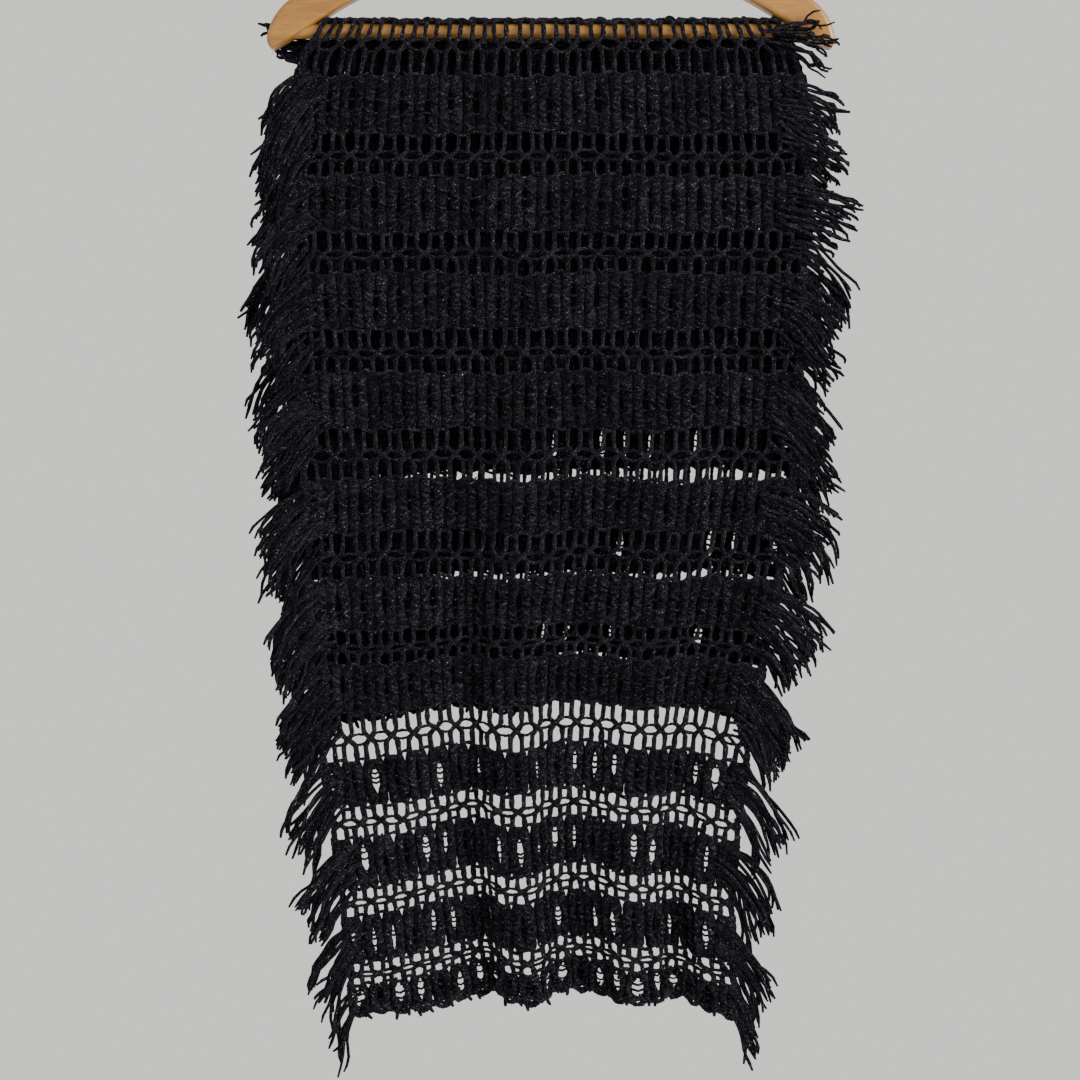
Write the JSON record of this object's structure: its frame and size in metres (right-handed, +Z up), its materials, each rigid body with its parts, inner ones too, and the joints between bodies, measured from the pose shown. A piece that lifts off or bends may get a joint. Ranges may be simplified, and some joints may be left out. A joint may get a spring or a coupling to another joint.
{
  "type": "crochet shawl on a wooden hanger",
  "caption": "Black crochet shawl with bands of oval stitches and fringed sides, folded over the bar of a wooden coat hanger with a wire hook.",
  "frame": {"origin": "top of the inside of the hook, where the rail that carries the hanger touches it", "axes": "+Z up, the long fall of the shawl faces -Y, the hanger's width runs along X"},
  "size_m": [0.5041, 0.0387, 1.014],
  "materials": {
    "yarn": "soft fuzzy crochet yarn, matt with a faint sheen",
    "wood": "pale honey wood, satin lacquer",
    "metal": "bright drawn wire"
  },
  "bodies": {
    "root": {"front_fall": "yarn", "back_fall": "yarn", "front_left_fringe": "yarn", "front_right_fringe": "yarn", "back_left_fringe": "yarn", "back_right_fringe": "yarn", "hanger_arms": "wood", "hanger_bar": "wood", "hook": "metal"}
  },
  "joints": []
}
